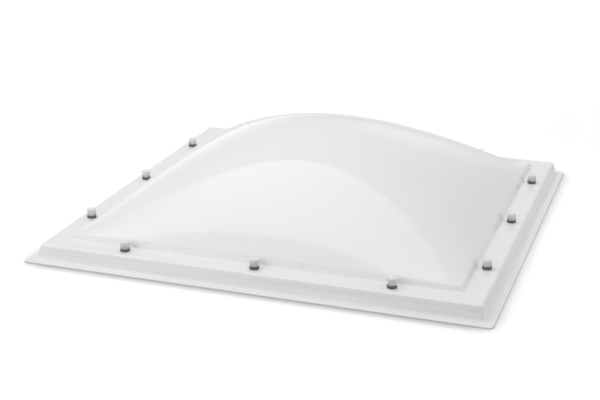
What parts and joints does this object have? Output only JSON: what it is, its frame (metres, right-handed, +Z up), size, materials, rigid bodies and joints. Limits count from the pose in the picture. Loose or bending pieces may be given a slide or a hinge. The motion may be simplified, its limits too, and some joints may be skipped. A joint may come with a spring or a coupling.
{
  "type": "roof skylight dome",
  "caption": "Square opal acrylic roof dome on a low step, with a flat fixing flange, turned-down skirt, outward lip and capped screws, letting daylight through a flat roof.",
  "frame": {"origin": "middle of the square plan, on the plane of the lip's underside", "axes": "+Z up through the crown of the dome, +X along the front edge to the right, +Y to the back"},
  "size_m": [1.2, 1.2, 0.2645],
  "materials": {
    "opal_acrylic": "glossy opal white acrylic sheet, slightly translucent",
    "epdm_rubber": "dull black EPDM rubber",
    "cap_plastic": "satin white moulded plastic",
    "stainless_steel": "plain stainless steel",
    "foam_seal": "matt black closed-cell rubber foam"
  },
  "bodies": {
    "root": {"dome_shell": "opal_acrylic", "sealing_rings": "epdm_rubber", "cap_bases": "cap_plastic", "fixing_screws": "stainless_steel", "screw_caps": "cap_plastic", "seal_strip_front": "foam_seal", "seal_strip_back": "foam_seal", "seal_strip_left": "foam_seal", "seal_strip_right": "foam_seal"}
  },
  "joints": []
}
